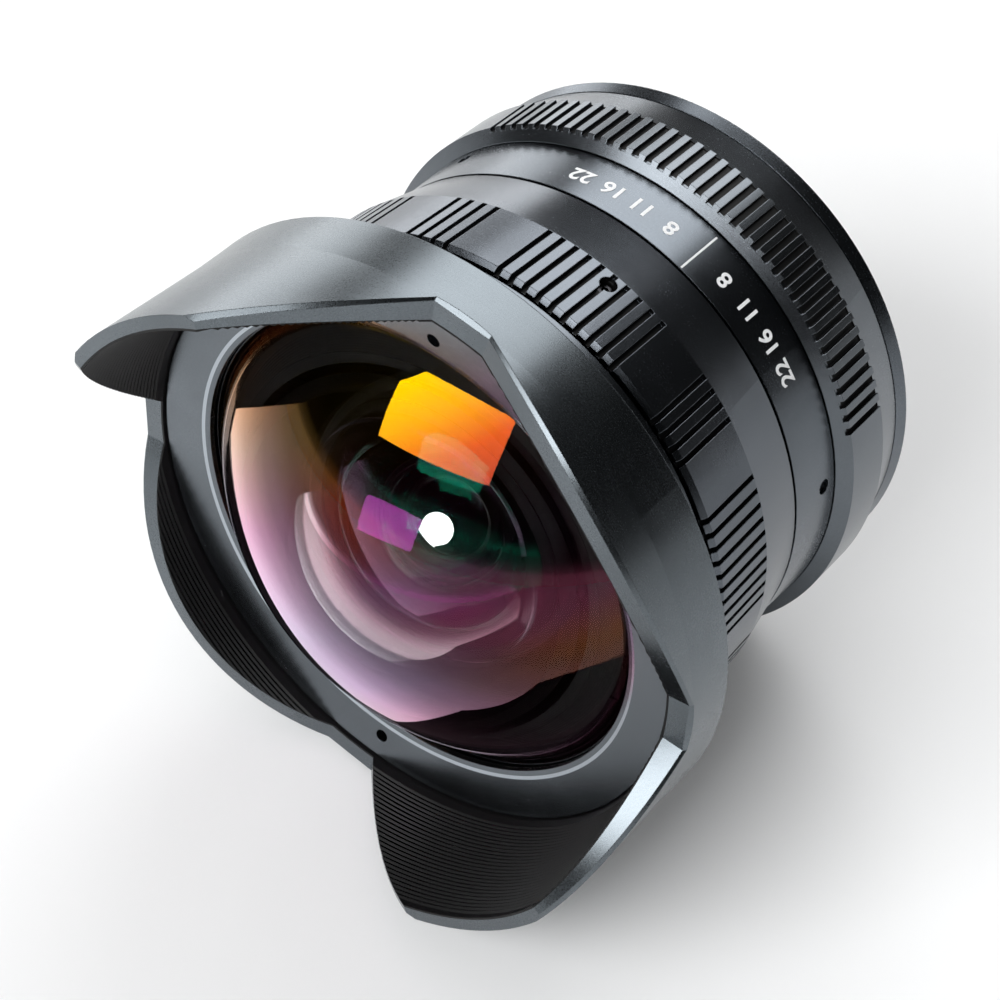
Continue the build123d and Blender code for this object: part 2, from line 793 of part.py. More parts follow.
fifth_ring_inner = fifth_glass_radius - ring_width
fifth_ring_rear = fifth_apex - sag(fifth_glass_front_curve, fifth_ring_inner) + glass_gap
with BuildPart() as fifth_element_ring:
    revolve(
        ring_section(fifth_ring_inner, fifth_glass_radius, fifth_ring_rear, fifth_ring_rear + ring_height),
        axis=Axis.Z,
    )
finish(fifth_element_ring, "fifth_element_ring")

# Iris base: a cup with pivot holes, a ledge for the cam ring and a window for its arm
fork_half_width = aperture_pin_radius + run_gap + fork_wall
window_margin = degrees(asin((fork_half_width + ring_gap) / iris_cup_bore))
ledge_bore = iris_cup_bore - iris_ledge_width
with BuildPart() as iris_base:
    revolve(
        half_section(
            (iris_plate_bore, iris_plate_rear),
            (iris_cup_radius, iris_plate_rear),
            (iris_cup_radius, iris_cup_front),
            (iris_cup_bore, iris_cup_front),
            (iris_cup_bore, cam_rear - run_gap),
            (ledge_bore, cam_rear - run_gap),
            (ledge_bore, iris_plate_front),
            (iris_plate_bore, iris_plate_front),
        ),
        axis=Axis.Z,
    )
    with BuildSketch(Plane.XY.offset(iris_plate_rear)):
        with PolarLocations(pivot_circle, blade_count):
            Circle(pin_radius + run_gap)
    extrude(amount=iris_plate_thickness, mode=Mode.SUBTRACT)
    with BuildSketch(Plane.XY.offset(cam_rear - run_gap)):
        add(
            sector_face(
                iris_cup_bore - run_gap,
                iris_cup_radius + overrun,
                aperture_pin_angle - window_margin,
                aperture_turn + 2 * window_margin,
            )
        )
    extrude(amount=cam_thickness + 2 * run_gap, mode=Mode.SUBTRACT)
    with BuildSketch(Plane.XY.offset(iris_plate_rear)):
        with PolarLocations(screw_circle, iris_screw_count, start_angle=iris_screw_angle):
            Circle(iris_screw_radius + fit_gap)
    extrude(amount=iris_cup_front - iris_plate_rear, mode=Mode.SUBTRACT)
finish(iris_base, "iris_base")

# Cam ring: six curved slots for the drive pins and an arm that ends in a fork
def drive_point(share):
    """Place of a drive pin's centre in the cam ring, at a share of the closing motion."""
    swing = radians(blade_turn * share)
    x = pivot_circle + drive_arm * cos(swing)
    y = drive_arm * sin(swing)
    return polar(sqrt(x**2 + y**2), degrees(atan2(y, x)) - aperture_turn * share)


fork_width = 2 * fork_half_width
with BuildPart() as iris_cam_ring:
    revolve(ring_section(cam_bore, cam_radius, cam_rear, cam_front), axis=Axis.Z)
    with BuildSketch(Plane.XY.offset(cam_rear)):
        with PolarLocations(0, blade_count):
            with BuildLine(mode=Mode.PRIVATE) as pin_path:
                ThreePointArc(drive_point(0), drive_point(0.5), drive_point(1))
            SlotArc(pin_path.edge(), 2 * (pin_radius + run_gap))
    extrude(amount=cam_thickness, mode=Mode.SUBTRACT)
    with BuildSketch(Plane.XY.offset(cam_rear)):
        with Locations(turned((cam_radius + fork_inner) / 2, aperture_pin_angle)):
            Rectangle(fork_inner - cam_radius + 2 * ring_gap, fork_width)
    extrude(amount=cam_thickness)
    with BuildSketch(Plane.XY.offset(cam_rear)):
        with Locations(turned(fork_inner + fork_depth / 2, aperture_pin_angle)):
            Rectangle(fork_depth, fork_width)
    extrude(amount=cam_thickness + fork_rise)
    with BuildSketch(Plane.XY.offset(cam_rear)):
        with Locations(turned(fork_inner + fork_gap / 2 + fork_depth, aperture_pin_angle)):
            Rectangle(2 * fork_depth, 2 * (aperture_pin_radius + run_gap))
    extrude(amount=cam_thickness + fork_rise, mode=Mode.SUBTRACT)
finish(iris_cam_ring, "iris_cam_ring")

# Ring that keeps the cam ring on its ledge
with BuildPart() as iris_retaining_ring:
    revolve(
        ring_section(
            cam_radius - iris_ring_width,
            cam_radius,
            cam_front + run_gap,
            cam_front + run_gap + iris_ring_thickness,
        ),
        axis=Axis.Z,
    )
finish(iris_retaining_ring, "iris_retaining_ring")

# Iris blades: each on its own level, with a pivot pin below and a drive pin above
for number in range(1, blade_count + 1):
    blade_angle = 360 / blade_count * (number - 1)
    blade_rear = iris_plate_front + blade_gap + (number - 1) * blade_pitch
    pivot_depth = blade_rear - iris_plate_rear - fit_gap
    drive_height = cam_front - blade_rear - fit_gap
    with BuildPart() as iris_blade:
        with BuildSketch(Plane.XY.offset(blade_rear)):
            add(sector_face(blade_edge_radius, blade_edge_radius + blade_width, blade_angle, blade_arc))
            tab_middle = pivot_circle + drive_arm / 2 - blade_tab_width / 2
            with Locations(turned(tab_middle, blade_angle)):
                SlotCenterToCenter(drive_arm + blade_tab_width, blade_tab_width)
        extrude(amount=blade_thickness)
        with BuildSketch(Plane.XY.offset(blade_rear)):
            with Locations(polar(pivot_circle, blade_angle)):
                Circle(pin_radius)
        extrude(amount=-pivot_depth)
        with BuildSketch(Plane.XY.offset(blade_rear)):
            with Locations(polar(pivot_circle + drive_arm, blade_angle)):
                Circle(pin_radius)
        extrude(amount=drive_height)
    finish(iris_blade, f"iris_blade_{number}")

# Rear group cell under the iris base, and the three screws that hold both to the focus cell
middle_seat = rear_cell_front - middle_seat_depth
rear_seat = rear_cell_front - rear_seat_depth
flange_rear = rear_cell_front - rear_cell_flange
with BuildPart() as rear_group_cell:
    revolve(
        half_section(
            (rear_glass_radius + fit_gap, rear_cell_rear),
            (rear_cell_radius, rear_cell_rear),
            (rear_cell_radius, flange_rear),
            (iris_cup_radius, flange_rear),
            (iris_cup_radius, rear_cell_front),
            (middle_glass_radius + fit_gap, rear_cell_front),
            (middle_glass_radius + fit_gap, middle_seat),
            (rear_lip_radius, middle_seat),
            (rear_lip_radius, rear_seat),
            (rear_glass_radius + fit_gap, rear_seat),
        ),
        axis=Axis.Z,
    )
    with BuildSketch(Plane.XY.offset(flange_rear)):
        with PolarLocations(screw_circle, iris_screw_count, start_angle=iris_screw_angle):
            Circle(iris_screw_radius + fit_gap)
    extrude(amount=rear_cell_flange, mode=Mode.SUBTRACT)
finish(rear_group_cell, "rear_group_cell")

with BuildPart() as iris_screws:
    with BuildSketch(Plane.XY.offset(flange_rear - iris_screw_head_height)):
        with PolarLocations(screw_circle, iris_screw_count, start_angle=iris_screw_angle):
            Circle(iris_screw_head)
    extrude(amount=iris_screw_head_height)
    with BuildSketch(Plane.XY.offset(flange_rear)):
        with PolarLocations(screw_circle, iris_screw_count, start_angle=iris_screw_angle):
            Circle(iris_screw_radius)
    extrude(amount=iris_screw_length)
    with BuildSketch(Plane.XY.offset(flange_rear - iris_screw_head_height)):
        with PolarLocations(screw_circle, iris_screw_count, start_angle=iris_screw_angle):
            Rectangle(2 * iris_screw_head, iris_screw_head * slot_width_share)
    extrude(amount=iris_screw_head_height * slot_depth_share, mode=Mode.SUBTRACT)
finish(iris_screws, "iris_screws")

# Two cemented doublets of the rear group, each with its ring
middle_flint_rear = middle_seat + glass_gap - sag(middle_flint_curve, rear_lip_radius)
middle_cement = middle_flint_rear + middle_flint_thickness
middle_apex = middle_cement + cement_gap + middle_crown_thickness
with BuildPart() as middle_doublet_crown:
    revolve(glass_section(middle_crown, middle_apex), axis=Axis.Z)
finish(middle_doublet_crown, "middle_doublet_crown")


def flint_section(glass, cement):
    """Half section of the rear element of a doublet, hollow at the front, with its low point at cement."""
    radius, front_curve, thickness, rear_curve = glass
    return glass_section((radius, -front_curve, thickness, rear_curve), cement)


with BuildPart() as middle_doublet_flint:
    revolve(flint_section(middle_flint, middle_cement), axis=Axis.Z)
finish(middle_doublet_flint, "middle_doublet_flint")

middle_ring_inner = middle_glass_radius - ring_width
middle_ring_rear = middle_apex - sag(middle_crown_curve, middle_ring_inner) + glass_gap
with BuildPart() as middle_doublet_ring:
    revolve(
        ring_section(
            middle_ring_inner, middle_glass_radius, middle_ring_rear, middle_ring_rear + ring_height
        ),
        axis=Axis.Z,
    )
finish(middle_doublet_ring, "middle_doublet_ring")

rear_apex = rear_seat - glass_gap + sag(rear_crown_curve, rear_lip_radius)
rear_cement = rear_apex - rear_crown_thickness - cement_gap
with BuildPart() as rear_doublet_crown:
    revolve(glass_section(rear_crown, rear_apex), axis=Axis.Z)
finish(rear_doublet_crown, "rear_doublet_crown")

with BuildPart() as rear_doublet_flint:
    revolve(flint_section(rear_flint, rear_cement), axis=Axis.Z)
finish(rear_doublet_flint, "rear_doublet_flint")

rear_glass_inner = rear_glass_radius - ring_width
rear_glass_end = rear_cement - rear_flint_thickness + sag(rear_flint_curve, rear_glass_inner) - glass_gap
with BuildPart() as rear_doublet_ring:
    revolve(
        ring_section(rear_glass_inner, rear_glass_radius, rear_glass_end - ring_height, rear_glass_end),
        axis=Axis.Z,
    )
finish(rear_doublet_ring, "rear_doublet_ring")

# Front barrel: neck under the hood, shelf and bore of the front element
cell_thread_radius = tube_bore + fit_gap
with BuildPart() as front_barrel:
    revolve(
        half_section(
            (tube_radius + fit_gap, collar_rear),
            (collar_radius, collar_rear),
            (collar_radius, hood_rear - fit_gap),
            (front_barrel_radius, hood_rear - fit_gap),
            (front_barrel_radius, front_barrel_front),
            (glass_bore, front_barrel_front),
            (glass_bore, glass_shelf),
            (cell_thread_radius, glass_shelf),
            (cell_thread_radius, tube_front),
            (tube_radius + fit_gap, tube_front),
        ),
        axis=Axis.Z,
    )
    for angle in around(barrel_screw_angle, barrel_screw_count):
        with BuildSketch(Plane.XY.offset(tube_front)):
            with Locations(polar((tube_bore + tube_radius) / 2, angle)):
                Circle(barrel_screw_radius + fit_gap)
        extrude(amount=front_flange_thickness, mode=Mode.SUBTRACT)
        with BuildSketch(Plane.XY.offset(glass_shelf)):
            with Locations(polar((tube_bore + tube_radius) / 2, angle)):
                Circle(barrel_screw_head + fit_gap)
        extrude(amount=-barrel_screw_head_height - fit_gap, mode=Mode.SUBTRACT)
finish(front_barrel, "front_barrel")

with BuildPart() as barrel_screws:
    for angle in around(barrel_screw_angle, barrel_screw_count):
        with BuildSketch(Plane.XY.offset(glass_shelf - fit_gap)):
            with Locations(polar((tube_bore + tube_radius) / 2, angle)):
                Circle(barrel_screw_head)
        extrude(amount=-barrel_screw_head_height)
        with BuildSketch(Plane.XY.offset(glass_shelf - fit_gap)):
            with Locations(polar((tube_bore + tube_radius) / 2, angle)):
                Circle(barrel_screw_radius)
        extrude(amount=-barrel_screw_length)
finish(barrel_screws, "barrel_screws")

# Front group cell and its three elements
cell_top = glass_shelf + front_cell_lip
second_seat = glass_shelf - second_seat_depth
third_seat = glass_shelf - third_seat_depth
fourth_top = glass_shelf - fourth_top_depth
cell_tail = glass_shelf - front_cell_depth
fourth_lip = fourth_glass_radius - fourth_lip_width
third_wall_radius = third_glass_radius + front_cell_wall
with BuildPart() as front_group_cell:
    revolve(
        half_section(
            (second_radius + fit_gap, cell_top),
            (second_radius + front_cell_spigot_wall, cell_top),
            (second_radius + front_cell_spigot_wall, glass_shelf - fit_gap),
            (cell_thread_radius - fit_gap, glass_shelf - fit_gap),
            (cell_thread_radius - fit_gap, tube_front + fit_gap),
            (second_radius + front_cell_wall, tube_front + fit_gap),
            (second_radius + front_cell_wall, second_seat - front_cell_wall),
            (third_wall_radius, second_seat - front_cell_wall),
            (third_wall_radius, third_seat - front_cell_wall),
            (fourth_glass_radius + front_cell_wall, third_seat - front_cell_wall),
            (fourth_glass_radius + front_cell_wall, cell_tail),
            (fourth_glass_radius + fit_gap, cell_tail),
            (fourth_glass_radius + fit_gap, fourth_top),
            (fourth_lip, fourth_top),
            (fourth_lip, third_seat),
            (third_glass_radius + fit_gap, third_seat),
            (third_glass_radius + fit_gap, second_seat),
            (second_radius + fit_gap, second_seat),
        ),
        axis=Axis.Z,
    )
finish(front_group_cell, "front_group_cell")

second_apex = second_seat + second_glass_rise
with BuildPart() as second_element:
    revolve(glass_section(second_glass, second_apex, second_seat), axis=Axis.Z)
finish(second_element, "second_element")

second_ring_inner = second_radius - ring_width
second_ring_rear = second_apex - sag(second_glass_front_curve, second_ring_inner) + glass_gap
with BuildPart() as second_element_ring:
    revolve(
        ring_section(second_ring_inner, second_radius, second_ring_rear, second_ring_rear + ring_height),
        axis=Axis.Z,
    )
finish(second_element_ring, "second_element_ring")

third_apex = third_seat + third_glass_rise
with BuildPart() as third_element:
    revolve(glass_section(third_glass, third_apex, third_seat), axis=Axis.Z)
finish(third_element, "third_element")

third_ring_inner = third_glass_radius - ring_width
third_ring_rear = third_apex - sag(third_glass_front_curve, third_ring_inner) + glass_gap
with BuildPart() as third_element_ring:
    revolve(
        ring_section(third_ring_inner, third_glass_radius, third_ring_rear, third_ring_rear + ring_height),
        axis=Axis.Z,
    )
finish(third_element_ring, "third_element_ring")

fourth_apex = fourth_top - glass_gap + sag(fourth_glass_front_curve, fourth_lip)
with BuildPart() as fourth_element:
    revolve(glass_section(fourth_glass, fourth_apex), axis=Axis.Z)
finish(fourth_element, "fourth_element")

fourth_ring_inner = fourth_glass_radius - ring_width
fourth_rear_apex = fourth_apex - fourth_glass_thickness
fourth_ring_front = fourth_rear_apex + sag(fourth_rear_curve, fourth_ring_inner) - glass_gap
with BuildPart() as fourth_element_ring:
    revolve(
        ring_section(
            fourth_ring_inner, fourth_glass_radius, fourth_ring_front - ring_height, fourth_ring_front
        ),
        axis=Axis.Z,
    )
finish(fourth_element_ring, "fourth_element_ring")

# Front element: the dome that the photograph shows, a deep meniscus
front_apex = glass_shelf + front_glass_rise
with BuildPart() as front_element:
    revolve(glass_section(front_glass, front_apex, glass_shelf), axis=Axis.Z)
finish(front_element, "front_element")

# Front retainer, a stepped ring over the edge of the dome
retainer_rear = front_barrel_front + fit_gap
retainer_drop = retainer_rear + glass_gap - front_apex + front_glass_front_curve
retainer_bore = sqrt(front_glass_front_curve ** 2 - retainer_drop**2) + glass_gap
retainer_radius = retainer_bore + retainer_width
retainer_front = retainer_rear + retainer_thickness
retainer_middle = (retainer_bore + retainer_radius) / 2
with BuildPart() as front_retainer:
    revolve(
        half_section(
            (retainer_bore, retainer_rear),
            (retainer_radius, retainer_rear),
            (retainer_radius, retainer_front),
            (retainer_middle, retainer_front),
            (retainer_middle, retainer_front - retainer_step),
            (retainer_bore, retainer_front - retainer_step),
        ),
        axis=Axis.Z,
    )
finish(front_retainer, "front_retainer")

# Front bezel: a conical ring with two spanner holes that clamps the hood to the front barrel
bezel_rear = front_barrel_front + fit_gap
bezel_radius = hood_inner - bezel_seam
bezel_edge_radius = bezel_radius - bezel_lip_width
bezel_bore = bezel_edge_radius - bezel_edge_width
bezel_front = bezel_rear + bezel_height
with BuildPart() as front_bezel:
    revolve(
        half_section(
            (retainer_radius + fit_gap, bezel_rear),
            (bezel_radius, bezel_rear),
            (bezel_radius, bezel_front),
            (bezel_edge_radius, bezel_front - bezel_draft),
            (bezel_bore, bezel_front - bezel_draft - bezel_edge_drop),
            (bezel_bore, bezel_rear + bezel_recess_height),
            (retainer_radius + fit_gap, bezel_rear + bezel_recess_height),
        ),
        axis=Axis.Z,
    )
    with BuildSketch(Plane.XY.offset(bezel_front)):
        with PolarLocations(bezel_hole_circle, bezel_hole_count, start_angle=bezel_hole_angle):
            Circle(bezel_hole_radius)
    extrude(amount=-bezel_draft - bezel_hole_depth, mode=Mode.SUBTRACT)
finish(front_bezel, "front_bezel")

# Petal hood: flared shell with ridges inside, milled from the side down to the notch floor
ridge_slope = hood_inner_draft / (hood_front - notch_floor)
ridge_points = []
for row in range(ridge_rows):
    ridge_height = notch_floor + ridge_start + row * ridge_pitch
    ridge_radius = hood_inner + ridge_slope * (ridge_height - notch_floor)
    ridge_points.append((ridge_radius, ridge_height))
    ridge_points.append((ridge_radius + ridge_depth, ridge_height + ridge_pitch / 2))
low_half = hood_radius * cos(radians(low_petal_half_angle))
tall_half = hood_radius * cos(radians(tall_petal_half_angle))
tall_reach = tall_half + (petal_length + overrun) * tan(radians(tall_petal_lean))
tall_cut_end = degrees(acos(tall_reach / hood_radius))
cut_inner = hood_inner - overrun
cut_outer = hood_radius + overrun
cut_top = hood_front + 2 * overrun


def spread(first, last, count):
    """Evenly spaced values from the first to the last."""
    return [first + (last - first) * place / (count - 1) for place in range(count)]


def edge_height(angle, half, lean):
    """Height of a petal's edge at an angle from the petal's middle."""
    return notch_floor + (hood_radius * cos(radians(angle)) - half) / tan(radians(lean))


def cut_section(angle, height):
    """Section of the milling cut in the plane of the axis at an angle, with a bevel at the outer edge."""
    plane = Plane(origin=(0, 0, 0), x_dir=(*polar(1, angle), 0), z_dir=(*polar(1, angle - 90), 0))
    with BuildSketch(plane) as section:
        with BuildLine():
            Polyline(
                (cut_inner, height),
                (hood_radius - hood_chamfer, height),
                (cut_outer, height - hood_chamfer - overrun),
                (cut_outer, cut_top),
                (cut_inner, cut_top),
                close=True,
            )
        make_face()
    return section.sketch.face()


def mill(stations):
    """Take away what lies above the cut that passes through the given angles and heights."""
    sections = [cut_section(angle, height) for angle, height in sorted(stations, reverse=True)]
    loft(sections, mode=Mode.SUBTRACT)


low_angles = spread(-low_petal_half_angle, low_petal_half_angle, low_cut_stations)
tall_angles = spread(tall_petal_half_angle, tall_cut_end, tall_cut_stations)
notch_angles = (tall_petal_half_angle, 90 - low_petal_half_angle)
with BuildPart() as hood:
    revolve(
        half_section(
            (hood_bore, hood_rear),
            (hood_bore + hood_neck_wall, hood_rear),
            (hood_inner + hood_widest_wall - hood_edge_round, hood_widest - hood_edge_round),
            (hood_inner + hood_widest_wall, hood_widest),
            (hood_radius, notch_floor),
            (hood_inner + hood_inner_draft + hood_tip_wall, hood_front),
            (hood_inner + hood_inner_draft, hood_front),
            *reversed(ridge_points),
            (hood_inner, notch_floor),
            (hood_inner, front_barrel_front),
            (hood_bore, front_barrel_front),
        ),
        axis=Axis.Z,
    )
    for middle in (0, 180):
        mill((middle + angle, edge_height(angle, low_half, low_petal_lean)) for angle in low_angles)
    for middle in (90, 270):
        for side in (-1, 1):
            heights = [edge_height(angle, tall_half, tall_petal_lean) for angle in tall_angles]
            mill((middle + side * angle, height) for angle, height in zip(tall_angles, heights))
            mill((middle + side * angle, notch_floor) for angle in notch_angles)
finish(hood, "hood")
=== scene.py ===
"""Looks of a compact fisheye lens: black anodised rings, coated glass, printed scale, light and camera.

The lens stands in the frame with its optical axis along +Z. The table it lies on in the photograph is
the plane that touches the hood and the knurled ring, so the floor here leans against the lens.
"""

import math

import bmesh
import bpy
from mathutils import Matrix, Vector


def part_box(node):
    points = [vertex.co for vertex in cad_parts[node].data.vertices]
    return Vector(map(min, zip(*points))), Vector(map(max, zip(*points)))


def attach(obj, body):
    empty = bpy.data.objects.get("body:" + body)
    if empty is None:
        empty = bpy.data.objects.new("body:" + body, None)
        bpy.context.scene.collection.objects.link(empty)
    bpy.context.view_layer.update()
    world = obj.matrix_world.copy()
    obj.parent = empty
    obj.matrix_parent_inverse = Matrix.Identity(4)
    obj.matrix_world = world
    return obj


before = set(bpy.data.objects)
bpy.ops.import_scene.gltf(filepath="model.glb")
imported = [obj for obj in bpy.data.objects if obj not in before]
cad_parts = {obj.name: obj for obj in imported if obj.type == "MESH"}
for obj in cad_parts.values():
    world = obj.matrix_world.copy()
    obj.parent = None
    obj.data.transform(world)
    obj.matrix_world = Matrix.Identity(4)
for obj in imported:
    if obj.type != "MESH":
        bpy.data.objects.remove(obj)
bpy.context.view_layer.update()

MM = 0.001

# Camera: where it stands, what it looks along and which way is up in the picture
CAMERA_PLACE = Vector((188.95, 62.13, 184.44)) * MM
CAMERA_LOOK = Vector((-0.75716, -0.25741, -0.60030)).normalized()
CAMERA_UP = Vector((0.12616, 0.84412, -0.52110)).normalized()
FOCAL_LENGTH = 84.12
SENSOR_WIDTH = 36.0
NEAREST_SEEN = 0.01
FARTHEST_SEEN = 10.0

# The table: its upward normal, how far below the origin it lies, and the disc that stands for it
TABLE_UP = Vector((0.6563, 0.7456, 0.1153)).normalized()
TABLE_DROP = 30.9 * MM
TABLE_REACH = 0.8
TABLE_SIDES = 96
PAPER_DARK = (0.88, 0.885, 0.89)
PAPER_LIGHT = (0.90, 0.905, 0.91)

# Softboxes. The key is given by the directions of its corners, seen from the dome's centre, and the rim
# and back ones by their direction seen from halfway up to it, with their width and height
DOME_CENTRE = Vector((0.0, 0.0, 50.0)) * MM
BODY_MIDDLE = DOME_CENTRE * 0.5
KEY_CORNERS = (
    Vector((0.087, 0.834, 0.545)),
    Vector((0.629, 0.384, 0.676)),
    Vector((0.415, 0.101, 0.904)),
    Vector((-0.111, 0.588, 0.801)),
)
KEY_DISTANCE = 1.0
KEY_RADIANCE = 8.0
RIM_DIRECTION = Vector((0.35, 0.70, -0.62))
RIM_DISTANCE = 0.8
RIM_SIZE = (0.56, 0.40)
RIM_RADIANCE = 4.2
BACK_DIRECTION = Vector((-0.45, 0.71, -0.56))
BACK_DISTANCE = 0.9
BACK_SIZE = (0.70, 0.32)
BACK_RADIANCE = 2.9

# The key softbox as it shows in the inner glasses, and the daylight seen through the open iris, as a
# small lamp between the iris and the fifth glass. Both are seen only through glass
INNER_KEY_RADIANCE = 26.0
DAYLIGHT_PLACE = Vector((-5.36, -1.76, 13.7)) * MM
DAYLIGHT_SIZE = (5.0 * MM, 5.0 * MM)
DAYLIGHT_RADIANCE = 2.2
AXIS_FORWARD = Vector((0.0, 0.0, 1.0))
AXIS_ACROSS = Vector((0.0, 1.0, 0.0))

# Light from all round, the white that the camera sees behind the table, and what reflections see of the
# room from straight down (0) over the horizon (0.5) to straight up (1)
ROOM_LIGHT = 0.40
BACKDROP_WHITE = 0.92
ROOM_SEEN = ((0.500, 0.85), (0.515, 0.30), (0.545, 0.03), (0.62, 0.012))

# The dome's front curve, and the hood's bore with its draft, from the CAD model
DOME_CURVE = 35.03 * MM
DOME_SKIN = 0.2 * MM
RIM_WIDTH = 0.05 * MM
RIM_FOOT = 0.02 * MM
HOOD_BORE = 33.1 * MM
HOOD_DRAFT = 1.5 / 14.4
NOTCH_FLOOR = 50.0 * MM
RIDGE_DEPTH = 0.25 * MM

# Radii and heights between which the grooves get painted shade, nearly black, and the bezel's edge a
# painted highlight in the colour of bare metal; both colours (the black also darkens the hood's bore),
# and how much rougher the black surface is
KNURL_GROOVES = (29.0 * MM, 31.62 * MM)
KNURL_HEIGHT = (7.3 * MM, 13.42 * MM)
GRIP_GROOVES = (29.0 * MM, 31.12 * MM)
GRIP_HEIGHT = (29.55 * MM, 38.28 * MM)
LIP_EDGE = (28.12 * MM, 28.48 * MM)
LIP_FOOT = 48.4 * MM
LIP_HIGHLIGHT_COLOUR = (0.42, 0.46, 0.50)
GROOVE_SHADE_AND_BORE_BLACK = (0.0025, 0.0025, 0.0028)
GROOVE_ROUGHER = 0.25

# Anodised surfaces: size of the noises, their shares in the colour, and the height of the grain
PATCHES = 90.0
SPECKS = 5200.0
LATHE_LINES = (14000.0, 300.0)
PATCH_SHARE = 0.6
SPECK_SHARE = 0.4
ANODISED_SPECULAR = 0.25
ANODISED_GRAIN = 0.010 * MM
ANODISED_STRENGTH = 0.3
BROKEN_EDGE = 0.12 * MM

# Refractive indices, and the colours of the coatings
DOME_INDEX = 1.62
SECOND_INDEX = 1.70
THIRD_INDEX = 1.60
FOURTH_INDEX = 1.50
INNER_INDEX = 1.75
GREEN = (0.02, 1.0, 0.62)
MAGENTA = (1.0, 0.12, 0.92)
ROSE = (1.0, 0.55, 0.72)
PALE_ROSE = (1.0, 0.80, 0.86)
VIOLET = (0.85, 0.55, 0.85)
BLUE = (0.45, 0.65, 1.0)
FILM_ROUGHNESS = 0.012

# Inner coatings, seen from straight on (0) to along the surface (1): where their own colour ends and
# violet begins, and how their reflection grows by STEEP_SHARE
OWN_COLOUR_TO = 0.22
VIOLET_FROM = 0.36
STEEP_GROWTH = ((0.28, 0.0), (0.60, 1.0))
STEEP_SHARE = 0.12

# Colour of the dome's reflection across the dome, seen straight on and seen along the surface
FILM_WIDTH = 60.0 * MM
FLAT_FILM = (
    (0.30, (1.0, 0.32, 0.09)),
    (0.37, (0.85, 0.20, 0.36)),
    (0.44, (0.80, 0.14, 0.30)),
    (0.52, (0.75, 0.20, 0.50)),
    (0.60, (0.90, 0.10, 0.05)),
    (0.68, (1.0, 0.14, 0.02)),
    (0.74, (1.0, 0.38, 0.01)),
    (0.80, (1.0, 0.56, 0.0)),
    (0.86, (1.0, 0.62, 0.0)),
)
STEEP_FILM = (
    (0.22, (1.0, 0.42, 0.62)),
    (0.34, (0.90, 0.60, 0.95)),
    (0.46, (0.90, 0.68, 0.98)),
    (0.66, (1.0, 0.48, 0.74)),
    (0.79, (1.0, 0.62, 0.46)),
    (0.87, (1.0, 0.44, 0.14)),
)
# Shares of light, from straight on (0) to along the surface (1): what the dome reflects, where its flat
# colour gives way to its steep one, and what its hollow reflects
FILM_SHARE = (
    (0.00, 0.070),
    (0.20, 0.070),
    (0.28, 0.050),
    (0.37, 0.058),
    (0.44, 0.10),
    (0.50, 0.14),
    (0.55, 0.23),
    (0.62, 0.39),
    (0.72, 0.78),
    (0.85, 0.93),
)
STEEP_FROM = ((0.24, 0.0), (0.46, 1.0))
HOLLOW_FILM = ((0.05, MAGENTA), (0.10, ROSE), (0.15, PALE_ROSE))
HOLLOW_SHARE = ((0.04, 0.035), (0.08, 0.018), (0.10, 0.07), (0.135, 0.42), (0.170, 0.50), (0.178, 0.0))
# A painted highlight: the dome reflects more towards its +Y side; how much across the dome, and only
# when seen straight on
DOME_HIGHLIGHT_ACROSS = ((0.62, 0.0), (0.76, 1.0), (0.84, 1.2))
DOME_HIGHLIGHT_FACING = ((0.24, 1.0), (0.40, 0.0))

# The index ring's radius and height at its rear and front edge, and the printed marks on it
INDEX_REAR = (30.2 * MM, 14.6 * MM)
INDEX_FRONT = (30.0 * MM, 21.6 * MM)
INDEX_ANGLE = 26.1
INK_HEIGHT = 0.03 * MM
SCALE_NUMBERS = ("8", "11", "16", "22")
SCALE_STEP = 7.2
NUMBER_FOOT = 17.45 * MM
NUMBER_SIZE = 2.75 * MM
NUMBER_BOLD_SHARE = 0.018
NUMBER_SMOOTHNESS = 6
LINE_HALF_WIDTH = 0.11 * MM
LINE_REAR = 15.1 * MM
LINE_FRONT = 21.45 * MM


class Value:
    """A socket of a shader tree that can be used in sums."""

    def __init__(self, shade, socket):
        self.shade = shade
        self.socket = socket

    def _with(self, operation, *others):
        return self.shade.make("ShaderNodeMath", {"operation": operation}, *others)

    def __add__(self, other):
        return self._with("ADD", self, other)

    def __radd__(self, other):
        return self._with("ADD", other, self)

    def __sub__(self, other):
        return self._with("SUBTRACT", self, other)

    def __rsub__(self, other):
        return self._with("SUBTRACT", other, self)

    def __mul__(self, other):
        return self._with("MULTIPLY", self, other)

    def __rmul__(self, other):
        return self._with("MULTIPLY", other, self)

    def __truediv__(self, other):
        return self._with("DIVIDE", self, other)

    def __pow__(self, other):
        return self._with("POWER", self, other)

    def __gt__(self, other):
        return self._with("GREATER_THAN", self, other)

    def __lt__(self, other):
        return self._with("LESS_THAN", self, other)


